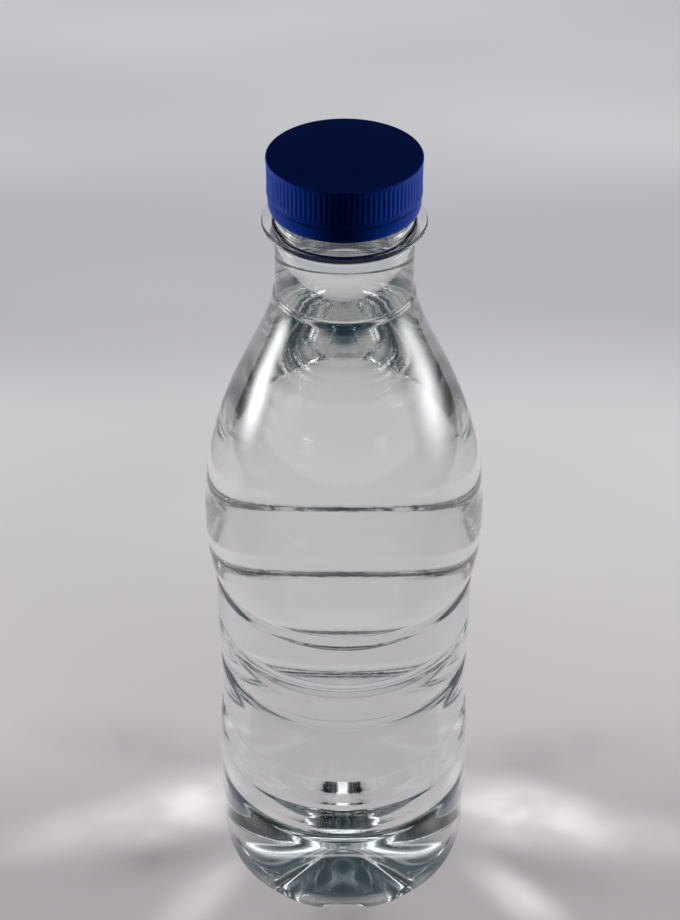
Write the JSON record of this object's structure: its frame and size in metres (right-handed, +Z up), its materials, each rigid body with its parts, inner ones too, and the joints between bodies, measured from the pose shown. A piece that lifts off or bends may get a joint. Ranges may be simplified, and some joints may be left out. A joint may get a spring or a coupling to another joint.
{
  "type": "full plastic water bottle with screw cap",
  "caption": "Clear, slender plastic drinking bottle, full of water, with ribbed waist, rounded shoulder, lobed foot and a blue ribbed screw cap on its threaded neck.",
  "frame": {"origin": "on the floor under the middle of the bottle, at the bottom of the feet", "axes": "+Z up along the bottle's axis, towards the cap; -Y towards the foot that faces the picture's camera"},
  "size_m": [0.0666, 0.0666, 0.2118],
  "materials": {
    "bottle": "clear, smooth and glossy",
    "water": "clear liquid",
    "cap": "moulded satin, ribbed skirt"
  },
  "bodies": {
    "bottle": {"bottle": "bottle", "water": "water"},
    "turning_band": {"tamper_band": "cap"},
    "cap": {"cap": "cap"}
  },
  "joints": [
    {"name": "cap_turn", "type": "hinge", "parent": "bottle", "child": "turning_band", "pos_m": [0, 0, 0.2016], "axis": [0, 0, 1], "range_deg": [0, 1080]},
    {"name": "cap_lift", "type": "slide", "parent": "turning_band", "child": "cap", "axis": [0, 0, 1], "range_m": [0, 0.0096]}
  ],
  "couplings": [
    {"joint": "cap_lift", "follows": "cap_turn", "m_per_rad": 0.00050611}
  ]
}
